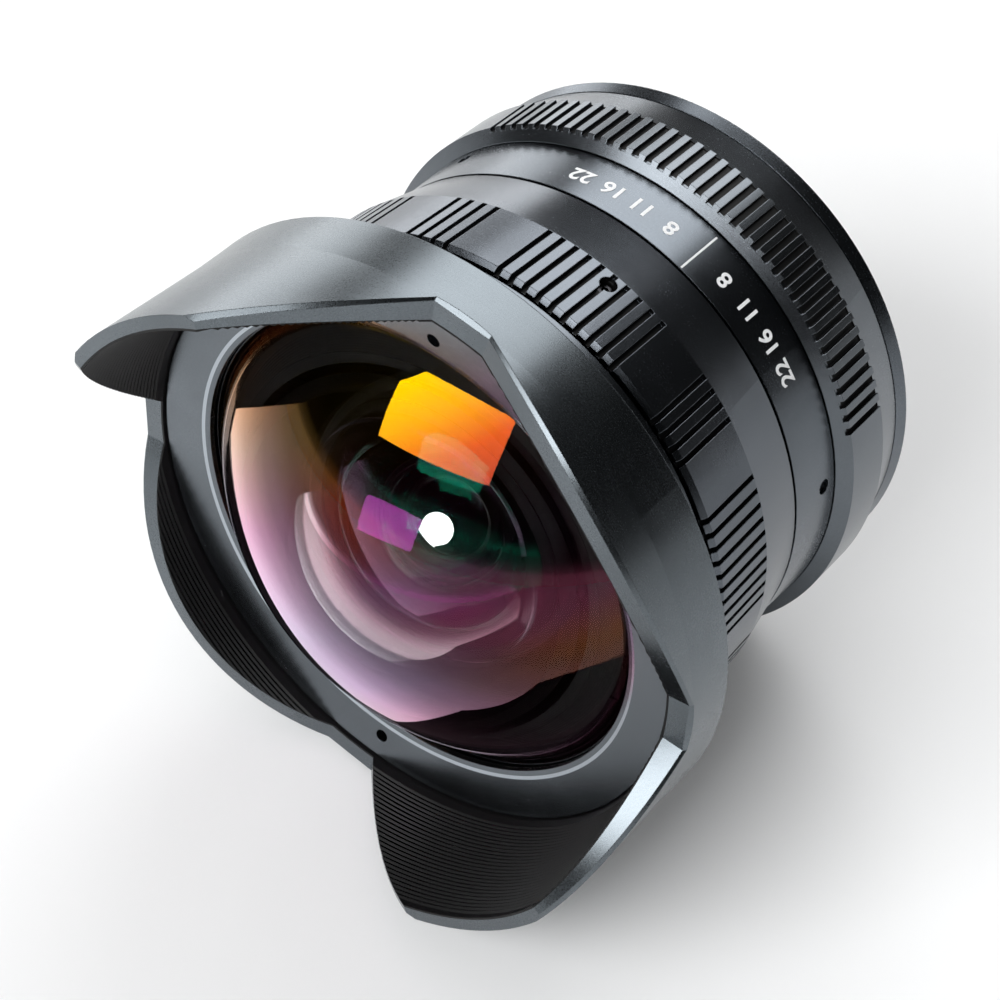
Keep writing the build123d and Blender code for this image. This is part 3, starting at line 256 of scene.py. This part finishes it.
class Shade:
    """The shader tree of a material or a world. The method make adds any node and returns an output."""

    def __init__(self, owner):
        owner.use_nodes = True
        self.owner = owner
        self.tree = owner.node_tree
        self.tree.nodes.clear()

    def make(self, kind, settings=None, *inputs, out=0, **named):
        node = self.tree.nodes.new(kind)
        for key, value in (settings or {}).items():
            if key == "stops":
                ramp = node.color_ramp
                while len(ramp.elements) > 1:
                    ramp.elements.remove(ramp.elements[-1])
                ramp.elements[0].position = value[0][0]
                ramp.elements[0].color = (*value[0][1], 1.0)
                for place, colour in value[1:]:
                    ramp.elements.new(place).color = (*colour, 1.0)
            else:
                setattr(node, key, value)
        for place, value in enumerate(inputs):
            self._feed(node.inputs[place], value)
        for name, value in named.items():
            place = int(name[6:]) if name.startswith("Input_") else name.replace("_", " ")
            self._feed(node.inputs[place], value)
        return Value(self, node.outputs[out]) if node.outputs else None

    def _feed(self, socket, value):
        if isinstance(value, Value):
            self.tree.links.new(value.socket, socket)
        elif value is not None:
            if isinstance(value, tuple) and len(value) == 3 and socket.type == "RGBA":
                value = (*value, 1.0)
            socket.default_value = value

    def outputs(self, kind, *labels):
        """Several outputs of one node."""
        node = self.tree.nodes.new(kind)
        return [Value(self, node.outputs[label]) for label in labels]

    def end(self, surface):
        """Close a material's tree with its surface."""
        self.make("ShaderNodeOutputMaterial", None, surface)
        return self.owner

    def place(self):
        """Object coordinates, in metres."""
        return self.make("ShaderNodeTexCoord", out=3)

    def parts(self, vector):
        """The x, y and z of a vector."""
        node = self.tree.nodes.new("ShaderNodeSeparateXYZ")
        self._feed(node.inputs[0], vector)
        return [Value(self, socket) for socket in node.outputs]

    def joined(self, x, y, z):
        return self.make("ShaderNodeCombineXYZ", None, x, y, z)

    def greatest(self, first, second):
        return self.make("ShaderNodeMath", {"operation": "MAXIMUM"}, first, second)

    def noise(self, vector, scale, detail=2.0, roughness=0.5):
        return self.make(
            "ShaderNodeTexNoise",
            {"noise_dimensions": "3D"},
            Vector=vector,
            Scale=scale,
            Detail=detail,
            Roughness=roughness,
        )

    def ramp(self, value, *stops):
        """A colour that follows a value through stops of place and colour."""
        return self.make("ShaderNodeValToRGB", {"stops": stops}, value)

    def curve(self, value, stops):
        """A number that follows a value through stops of place and number."""
        return self.ramp(value, *((place, grey(level)) for place, level in stops))

    def facing(self):
        """0 where the surface is seen straight on, 1 where it is seen along."""
        return self.make("ShaderNodeLayerWeight", None, 0.5, out=1)

    def turning(self, fineness, waver):
        """Noise that runs in fine circles round the optical axis, as a lathe leaves it."""
        x, y, z = self.parts(self.place())
        radius = (x * x + y * y) ** 0.5
        spun = self.joined(x * waver, y * waver, (radius + z) * fineness)
        return self.noise(spun, scale=1.0, roughness=0.6)

    def blend(self, factor, first, second):
        """Colour between two colours."""
        return self.make(
            "ShaderNodeMix", {"data_type": "RGBA"}, factor, out=2, Input_6=first, Input_7=second
        )

    def mixed(self, share, first, second):
        """Surface between two surfaces."""
        return self.make("ShaderNodeMixShader", None, share, first, second)

    def bump(self, height, distance, strength=1.0, edge=0.0):
        """Bumps of a height, on a surface whose edges are broken by the radius edge."""
        normal = self.make("ShaderNodeBevel", {"samples": 4}, edge) if edge else None
        return self.make(
            "ShaderNodeBump", None, Strength=strength, Distance=distance, Height=height, Normal=normal
        )


def new_shade(name):
    return Shade(bpy.data.materials.new(name))


def principled(shade, **values):
    return shade.make("ShaderNodeBsdfPrincipled", None, **values)


def grey(level):
    return (level, level, level)


def tone(colour, factor):
    return tuple(min(1.0, part * factor) for part in colour)


def anodised(name, colour, roughness, turned=0.08, grain=0.10, inside=None, highlight_mask=None):
    """Black anodised aluminium: dark and cool, with blasted grain and faint turning marks.

    Where inside gives a mask, the surface is matt and nearly black: painted shade in the grooves, a
    darker bore in the hood. The other mask gives a painted highlight in the colour of bare metal.
    """
    shade = new_shade(name)
    place = shade.place()
    patches = shade.noise(place, PATCHES, detail=3.0)
    specks = shade.noise(place, SPECKS)
    lines = shade.turning(*LATHE_LINES)
    tint = shade.ramp(
        patches * PATCH_SHARE + specks * SPECK_SHARE,
        (0.30, tone(colour, 0.84)),
        (0.52, colour),
        (0.74, tone(colour, 1.2)),
    )
    gloss = roughness + (patches - 0.5) * 0.10 + (specks - 0.5) * 0.08 + (lines - 0.5) * 0.06
    height = specks * grain + lines * turned
    metal = 1.0
    # Inside the mask the surface is nearly black and matt: painted shade in the grooves, a darker bore in
    # the hood
    if inside:
        painted = inside(shade)
        tint = shade.blend(painted, tint, GROOVE_SHADE_AND_BORE_BLACK)
        gloss = gloss + painted * GROOVE_ROUGHER
        metal = 1.0 - painted
    # A painted highlight: the bezel's lip takes the colour of bare metal
    if highlight_mask:
        tint = shade.blend(highlight_mask(shade), tint, LIP_HIGHLIGHT_COLOUR)
    surface = principled(
        shade,
        Base_Color=tint,
        Metallic=metal,
        Roughness=gloss,
        Specular_IOR_Level=ANODISED_SPECULAR,
        Normal=shade.bump(height, ANODISED_GRAIN, ANODISED_STRENGTH, edge=BROKEN_EDGE),
    )
    return shade.end(surface)


def round_axis(shade):
    """Distance from the optical axis, and height."""
    x, y, z = shade.parts(shade.place())
    return (x * x + y * y) ** 0.5, z


def between(value, low, high):
    return (value > low) * (value < high)


def hood_inside(shade):
    """1 on the bore of the hood and its ridges, 0 on its rim, cuts and outside."""
    radius, height = round_axis(shade)
    rise = shade.greatest(height - NOTCH_FLOOR, 0.0)
    return radius < rise * HOOD_DRAFT + (HOOD_BORE + RIDGE_DEPTH)


# The knurl's grooves, where shade is painted nearly black
def knurl_groove_shade_mask(shade):
    radius, height = round_axis(shade)
    return between(radius, *KNURL_GROOVES) * between(height, *KNURL_HEIGHT)


# The grip's grooves, where shade is painted nearly black
def grip_groove_shade_mask(shade):
    radius, height = round_axis(shade)
    return between(radius, *GRIP_GROOVES) * between(height, *GRIP_HEIGHT)


# The bezel's lip, where a highlight is painted in the colour of bare metal
def bezel_lip_highlight(shade):
    radius, height = round_axis(shade)
    return between(radius, *LIP_EDGE) * (height > LIP_FOOT)


def turned_black(name, colour, roughness):
    """Matt black inside of the barrels and cells, with visible turning marks."""
    shade = new_shade(name)
    lines = shade.turning(fineness=6500.0, waver=60.0)
    dust = shade.noise(shade.place(), scale=1500.0, detail=3.0)
    surface = principled(
        shade,
        Base_Color=shade.ramp(lines, (0.3, tone(colour, 0.7)), (0.7, tone(colour, 1.35))),
        Metallic=0.0,
        Roughness=roughness + (dust - 0.5) * 0.2,
        Specular_IOR_Level=0.06,
        Normal=shade.bump(lines * 0.7 + dust * 0.3, distance=0.03 * MM, strength=0.7),
    )
    return shade.end(surface)


def bright_metal(name, colour, roughness, fineness):
    """Turned or drawn metal: chromed mount, steel screws, brass pins, darkened blades."""
    shade = new_shade(name)
    lines = shade.turning(fineness, waver=120.0)
    stains = shade.noise(shade.place(), scale=160.0, detail=3.0)
    tint = shade.ramp(
        stains * 0.5 + lines * 0.5,
        (0.32, tone(colour, 0.78)),
        (0.55, colour),
        (0.75, tone(colour, 1.1)),
    )
    surface = principled(
        shade,
        Base_Color=tint,
        Metallic=1.0,
        Roughness=roughness + (lines - 0.5) * 0.16 + (stains - 0.5) * 0.1,
        Normal=shade.bump(lines, distance=0.006 * MM, strength=0.6),
    )
    return shade.end(surface)


def moulded(name, colour):
    """Matt moulded plastic with a fine spark-eroded grain."""
    shade = new_shade(name)
    grain = shade.noise(shade.place(), scale=2600.0, detail=3.0)
    surface = principled(
        shade,
        Base_Color=shade.ramp(grain, (0.3, tone(colour, 0.8)), (0.7, tone(colour, 1.3))),
        Roughness=0.55 + (grain - 0.5) * 0.2,
        Normal=shade.bump(grain, distance=0.03 * MM, strength=0.7),
    )
    return shade.end(surface)


def ink(name, colour):
    """White enamel of the printed scale, slightly uneven."""
    shade = new_shade(name)
    mottle = shade.noise(shade.place(), scale=3000.0)
    surface = principled(
        shade,
        Base_Color=shade.ramp(mottle, (0.3, tone(colour, 0.86)), (0.7, colour)),
        Roughness=0.45 + (mottle - 0.5) * 0.2,
        Normal=shade.bump(mottle, distance=0.01 * MM),
    )
    return shade.end(surface)


def clear_glass(shade, index):
    """Clear glass whose own reflection straight on is left to the coating."""
    return principled(
        shade,
        Base_Color=(1.0, 1.0, 1.0),
        Roughness=0.0,
        IOR=index,
        Transmission_Weight=1.0,
        Specular_Tint=(0.0, 0.0, 0.0),
    )


def film(shade, tint):
    """The mirror of a coating's colour that is mixed over clear glass."""
    return principled(shade, Base_Color=tint, Metallic=1.0, Roughness=FILM_ROUGHNESS)


def black_paint(shade):
    grain = shade.noise(shade.place(), scale=1800.0)
    tint = shade.ramp(grain, (0.3, grey(0.003)), (0.7, grey(0.007)))
    return principled(shade, Base_Color=tint, Roughness=0.7, Specular_IOR_Level=0.1)


def inner_glass(name, index, tint, share):
    """Clear glass under a coating of one colour straight on, which turns violet along the surface."""
    shade = new_shade(name)
    unevenness = shade.noise(shade.place(), scale=60.0)
    facing = shade.facing()
    mirror = film(shade, shade.ramp(facing, (OWN_COLOUR_TO, tint), (VIOLET_FROM, VIOLET)))
    steep = shade.curve(facing, STEEP_GROWTH)
    amount = share * (0.8 + unevenness * 0.4) + steep * STEEP_SHARE
    return shade.end(shade.mixed(amount, clear_glass(shade, index), mirror))


def front_glass():
    """The dome: an orange to violet coating outside, a magenta one in the hollow, a black rim.

    The coating's reflection grows from the middle to the edge of the view, and its colour runs from
    orange at one side of the dome to violet at the other. Towards the +Y side, where it is seen straight
    on, its reflection is made stronger: a painted highlight.
    """
    shade = new_shade("front_glass")
    x, y, z = shade.parts(shade.place())
    low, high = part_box("front_element")
    height = z - (high[2] - DOME_CURVE)
    radius = (x * x + y * y) ** 0.5
    outside = (x * x + y * y + height * height) ** 0.5 > DOME_CURVE - DOME_SKIN
    rim = shade.greatest(radius > high[0] - RIM_WIDTH, z < low[2] + RIM_FOOT)
    across = y / FILM_WIDTH + 0.5
    facing = shade.facing()
    flat = shade.ramp(across, *FLAT_FILM)
    steep = shade.ramp(across, *STEEP_FILM)
    coat = film(shade, shade.blend(shade.curve(facing, STEEP_FROM), flat, steep))
    # Painted highlight: more reflection towards the dome's +Y side, when seen straight on
    painted_dome_highlight = shade.curve(across, DOME_HIGHLIGHT_ACROSS) * shade.curve(facing, DOME_HIGHLIGHT_FACING)
    share = shade.curve(facing, FILM_SHARE) * (1.0 + painted_dome_highlight)
    dome = shade.mixed(share, clear_glass(shade, DOME_INDEX), coat)
    hollow_coat = film(shade, shade.ramp(facing, *HOLLOW_FILM))
    hollow_share = shade.curve(facing, HOLLOW_SHARE)
    hollow = shade.mixed(hollow_share, clear_glass(shade, DOME_INDEX), hollow_coat)
    return shade.end(shade.mixed(rim, shade.mixed(outside, hollow, dome), black_paint(shade)))


satin_black = anodised("satin_black_anodising", (0.120, 0.134, 0.150), 0.26)
# The knurled ring and the grip carry painted shade in their grooves
knurl_black = anodised("knurl_anodising_groove_shade", (0.125, 0.138, 0.152), 0.25, inside=knurl_groove_shade_mask)
grip_black = anodised(
    "grip_anodising_groove_shade", (0.112, 0.124, 0.140), 0.25, turned=0.12, inside=grip_groove_shade_mask
)
hood_black = anodised("hood_black_anodising", (0.130, 0.147, 0.160), 0.27, inside=hood_inside)
# The bezel carries a painted highlight on its lip
ring_black = anodised("bezel_anodising_lip_highlight", (0.140, 0.155, 0.170), 0.24, turned=0.25, highlight_mask=bezel_lip_highlight)
retainer_black = anodised("retainer_black_anodising", (0.050, 0.054, 0.060), 0.22, turned=0.3)
cell_black = turned_black("cell_matt_black", (0.0025, 0.0025, 0.0027), 0.6)
chrome = bright_metal("chromed_mount", (0.62, 0.62, 0.63), 0.22, 5200.0)
steel = bright_metal("bright_screw_steel", (0.56, 0.56, 0.57), 0.25, 9000.0)
brass = bright_metal("turned_brass", (0.72, 0.53, 0.24), 0.28, 7000.0)
dark_steel = bright_metal("blackened_steel", (0.05, 0.05, 0.055), 0.32, 9000.0)
blade_black = bright_metal("blade_steel", (0.035, 0.035, 0.038), 0.42, 3000.0)
plastic = moulded("baffle_black_plastic", (0.018, 0.018, 0.019))
white_ink = ink("scale_white_ink", (0.86, 0.87, 0.88))
front_coating = front_glass()
second_coating = inner_glass("second_glass_green_coating", SECOND_INDEX, GREEN, 0.013)
third_coating = inner_glass("third_glass_green_coating", THIRD_INDEX, GREEN, 0.006)
fourth_coating = inner_glass("fourth_glass_blue_coating", FOURTH_INDEX, BLUE, 0.003)
inner_coating = inner_glass("inner_glass_blue_coating", INNER_INDEX, BLUE, 0.003)

FINISHES = {
    satin_black: ("index_ring", "rear_ring", "front_barrel"),
    knurl_black: ("aperture_ring",),
    grip_black: ("focus_ring",),
    hood_black: ("hood",),
    ring_black: ("front_bezel",),
    retainer_black: ("front_retainer",),
    cell_black: (
        "main_barrel", "front_group_cell", "focus_cell", "iris_base", "rear_group_cell",
        "second_element_ring", "third_element_ring", "fourth_element_ring", "fifth_element_ring",
        "middle_doublet_ring", "rear_doublet_ring", "iris_retaining_ring",
    ),
    chrome: ("mount_plate",),
    steel: ("mount_screws", "click_ball", "click_spring", "barrel_screws", "iris_screws"),
    brass: ("guide_pins", "aperture_pin", "cam_sleeve"),
    dark_steel: ("index_grub_screws", "focus_grub_screws"),
    blade_black: (
        "iris_cam_ring", "iris_blade_1", "iris_blade_2", "iris_blade_3", "iris_blade_4",
        "iris_blade_5", "iris_blade_6",
    ),
    plastic: ("rear_baffle",),
    front_coating: ("front_element",),
    second_coating: ("second_element",),
    third_coating: ("third_element",),
    fourth_coating: ("fourth_element",),
    inner_coating: (
        "fifth_element", "middle_doublet_crown", "middle_doublet_flint",
        "rear_doublet_crown", "rear_doublet_flint",
    ),
}
for finish, names in FINISHES.items():
    for name in names:
        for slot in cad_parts[name].material_slots:
            slot.material = finish


def new_piece(name, mesh, material):
    piece = bpy.data.objects.new(name, mesh)
    bpy.context.scene.collection.objects.link(piece)
    mesh.materials.clear()
    mesh.materials.append(material)
    return piece


def on_index_ring(angle, height, lift):
    """Point on the slightly conical face of the index ring, angle in degrees and lengths in metres."""
    share = (height - INDEX_REAR[1]) / (INDEX_FRONT[1] - INDEX_REAR[1])
    radius = INDEX_REAR[0] + (INDEX_FRONT[0] - INDEX_REAR[0]) * share + lift
    turn = math.radians(angle)
    return Vector((radius * math.cos(turn), radius * math.sin(turn), height))


def wrap_on_index_ring(mesh, angle, foot):
    """Bend a flat figure of the XY plane round the ring, its middle at an angle, its foot at a height."""
    low = min(v.co.x for v in mesh.vertices)
    high = max(v.co.x for v in mesh.vertices)
    top = max(v.co.z for v in mesh.vertices)
    for vertex in mesh.vertices:
        along = math.degrees((vertex.co.x - (low + high) / 2) / INDEX_REAR[0])
        lift = INK_HEIGHT if vertex.co.z > top / 2 else -INK_HEIGHT
        vertex.co = on_index_ring(angle + along, foot + vertex.co.y, lift)


def printed_number(text, angle, foot, size):
    curve = bpy.data.curves.new(f"number_{text}", "FONT")
    curve.body = text
    curve.size = size
    curve.extrude = INK_HEIGHT
    curve.offset = NUMBER_BOLD_SHARE * size
    curve.resolution_u = NUMBER_SMOOTHNESS
    holder = bpy.data.objects.new(f"number_{text}", curve)
    bpy.context.scene.collection.objects.link(holder)
    bpy.context.view_layer.update()
    depsgraph = bpy.context.evaluated_depsgraph_get()
    mesh = bpy.data.meshes.new_from_object(holder.evaluated_get(depsgraph))
    bpy.data.objects.remove(holder)
    bpy.data.curves.remove(curve)
    wrap_on_index_ring(mesh, angle, foot)
    return mesh


def join_meshes(name, meshes):
    made = bmesh.new()
    for mesh in meshes:
        made.from_mesh(mesh)
    joined = bpy.data.meshes.new(name)
    made.to_mesh(joined)
    made.free()
    for mesh in meshes:
        bpy.data.meshes.remove(mesh)
    return joined


def line_on_index_ring():
    """The index line as a thin closed box that follows the ring's face."""
    mesh = bpy.data.meshes.new("index_line")
    line = bmesh.new()
    half_angle = math.degrees(LINE_HALF_WIDTH / INDEX_REAR[0])
    outline = ((-1, LINE_REAR), (1, LINE_REAR), (1, LINE_FRONT), (-1, LINE_FRONT))
    foot, top = (
        [
            line.verts.new(on_index_ring(INDEX_ANGLE + side * half_angle, height, lift))
            for side, height in outline
        ]
        for lift in (-INK_HEIGHT, INK_HEIGHT)
    )
    line.faces.new(top)
    line.faces.new(reversed(foot))
    for k in range(len(outline)):
        after = (k + 1) % len(outline)
        line.faces.new((foot[k], foot[after], top[after], top[k]))
    bmesh.ops.recalc_face_normals(line, faces=line.faces)
    line.to_mesh(mesh)
    line.free()
    return mesh


# A plain scale of numbers, the same on both sides of the index line
figures = []
for place, text in enumerate(SCALE_NUMBERS):
    for side in (-1, 1):
        angle = INDEX_ANGLE + side * SCALE_STEP * (place + 1)
        figures.append(printed_number(text, angle, NUMBER_FOOT, NUMBER_SIZE))
numbers = new_piece("scale_numbers", join_meshes("scale_numbers", figures), white_ink)
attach(numbers, "barrel")

index_line = new_piece("index_line", line_on_index_ring(), white_ink)
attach(index_line, "barrel")


# Floor, world, lamps and camera
def table_frame():
    """Axes of the table: two along it and its normal."""
    across = TABLE_UP.orthogonal().normalized()
    return Matrix((across, TABLE_UP.cross(across), TABLE_UP)).transposed()


def make_floor():
    """The table as a disc of pale paper, which can be looked through from behind."""
    mesh = bpy.data.meshes.new("floor")
    disc = bmesh.new()
    bmesh.ops.create_circle(disc, cap_ends=True, segments=TABLE_SIDES, radius=TABLE_REACH)
    bmesh.ops.transform(disc, matrix=table_frame().to_4x4(), verts=disc.verts)
    bmesh.ops.translate(disc, vec=-TABLE_UP * TABLE_DROP, verts=disc.verts)
    disc.to_mesh(mesh)
    disc.free()
    shade = new_shade("floor_paper")
    cloud = shade.noise(shade.place(), scale=8.0, detail=3.0)
    paper = shade.ramp(cloud, (0.3, PAPER_DARK), (0.7, PAPER_LIGHT))
    matt = principled(shade, Base_Color=paper, Roughness=0.6, Specular_IOR_Level=0.2)
    behind = shade.make("ShaderNodeNewGeometry", out=6)
    surface = shade.mixed(behind, matt, shade.make("ShaderNodeBsdfTransparent"))
    new_piece("floor", mesh, shade.end(surface))


def make_world():
    """White behind the table for the camera, an even light, and a dark room above a bright horizon."""
    world = bpy.data.worlds.new("studio")
    bpy.context.scene.world = world
    shade = Shade(world)
    camera, glossy, through = shade.outputs(
        "ShaderNodeLightPath", "Is Camera Ray", "Is Glossy Ray", "Is Transmission Ray"
    )
    view = shade.make("ShaderNodeNewGeometry", out=0)
    height = shade.make(
        "ShaderNodeVectorMath", {"operation": "DOT_PRODUCT"}, view, tuple(TABLE_UP), out=1
    )
    room = shade.curve(height * 0.5 + 0.5, ROOM_SEEN)
    seen = camera * BACKDROP_WHITE + (glossy + through) * room
    lit = (1.0 - camera) * (1.0 - glossy) * (1.0 - through) * ROOM_LIGHT
    background = shade.make("ShaderNodeBackground", None, (1.0, 1.0, 1.0), seen + lit)
    shade.make("ShaderNodeOutputWorld", None, background)


def area_lamp(name, centre, look_at, up, size, radiance, shape="RECTANGLE", glass_only=False):
    """A flat lamp of a radiance. One that is glass_only shows through glass and lights nothing else."""
    lamp = bpy.data.lights.new(name, "AREA")
    lamp.shape = shape
    lamp.size, lamp.size_y = size
    face = size[0] * size[1] * (math.pi / 4 if shape == "ELLIPSE" else 1.0)
    lamp.energy = radiance * math.pi * face
    holder = bpy.data.objects.new(name, lamp)
    bpy.context.scene.collection.objects.link(holder)
    back = (centre - look_at).normalized()
    right = up.cross(back).normalized()
    turn = Matrix((right, back.cross(right), back)).transposed()
    holder.matrix_world = Matrix.Translation(centre) @ turn.to_4x4()
    if glass_only:
        holder.visible_camera = holder.visible_diffuse = holder.visible_glossy = False


def make_lamps():
    top_left, top_right, low_right, low_left = (
        DOME_CENTRE + corner.normalized() * KEY_DISTANCE for corner in KEY_CORNERS
    )
    centre = (top_left + top_right + low_right + low_left) / 4
    width = ((top_right - top_left).length + (low_right - low_left).length) / 2
    height = ((top_left - low_left).length + (top_right - low_right).length) / 2
    up = (top_left - low_left + top_right - low_right).normalized()
    key = (centre, DOME_CENTRE, up, (width, height))
    area_lamp("key_softbox", *key, KEY_RADIANCE)
    area_lamp("key_in_the_glass", *key, INNER_KEY_RADIANCE, glass_only=True)
    area_lamp(
        "daylight_through_the_iris",
        DAYLIGHT_PLACE,
        DAYLIGHT_PLACE + AXIS_FORWARD,
        AXIS_ACROSS,
        DAYLIGHT_SIZE,
        DAYLIGHT_RADIANCE,
        "ELLIPSE",
        glass_only=True,
    )
    rim = BODY_MIDDLE + RIM_DIRECTION.normalized() * RIM_DISTANCE
    area_lamp("rim_softbox", rim, BODY_MIDDLE, TABLE_UP, RIM_SIZE, RIM_RADIANCE)
    back = BODY_MIDDLE + BACK_DIRECTION.normalized() * BACK_DISTANCE
    area_lamp("back_softbox", back, BODY_MIDDLE, TABLE_UP, BACK_SIZE, BACK_RADIANCE)


def make_camera():
    lens = bpy.data.cameras.new("camera")
    lens.lens = FOCAL_LENGTH
    lens.sensor_width = SENSOR_WIDTH
    lens.clip_start = NEAREST_SEEN
    lens.clip_end = FARTHEST_SEEN
    camera = bpy.data.objects.new("camera", lens)
    bpy.context.scene.collection.objects.link(camera)
    right = CAMERA_LOOK.cross(CAMERA_UP).normalized()
    up = right.cross(CAMERA_LOOK).normalized()
    turn = Matrix((right, up, -CAMERA_LOOK)).transposed()
    camera.matrix_world = Matrix.Translation(CAMERA_PLACE) @ turn.to_4x4()
    bpy.context.scene.camera = camera


make_floor()
make_world()
make_lamps()
make_camera()
bpy.context.scene.view_settings.view_transform = "Standard"
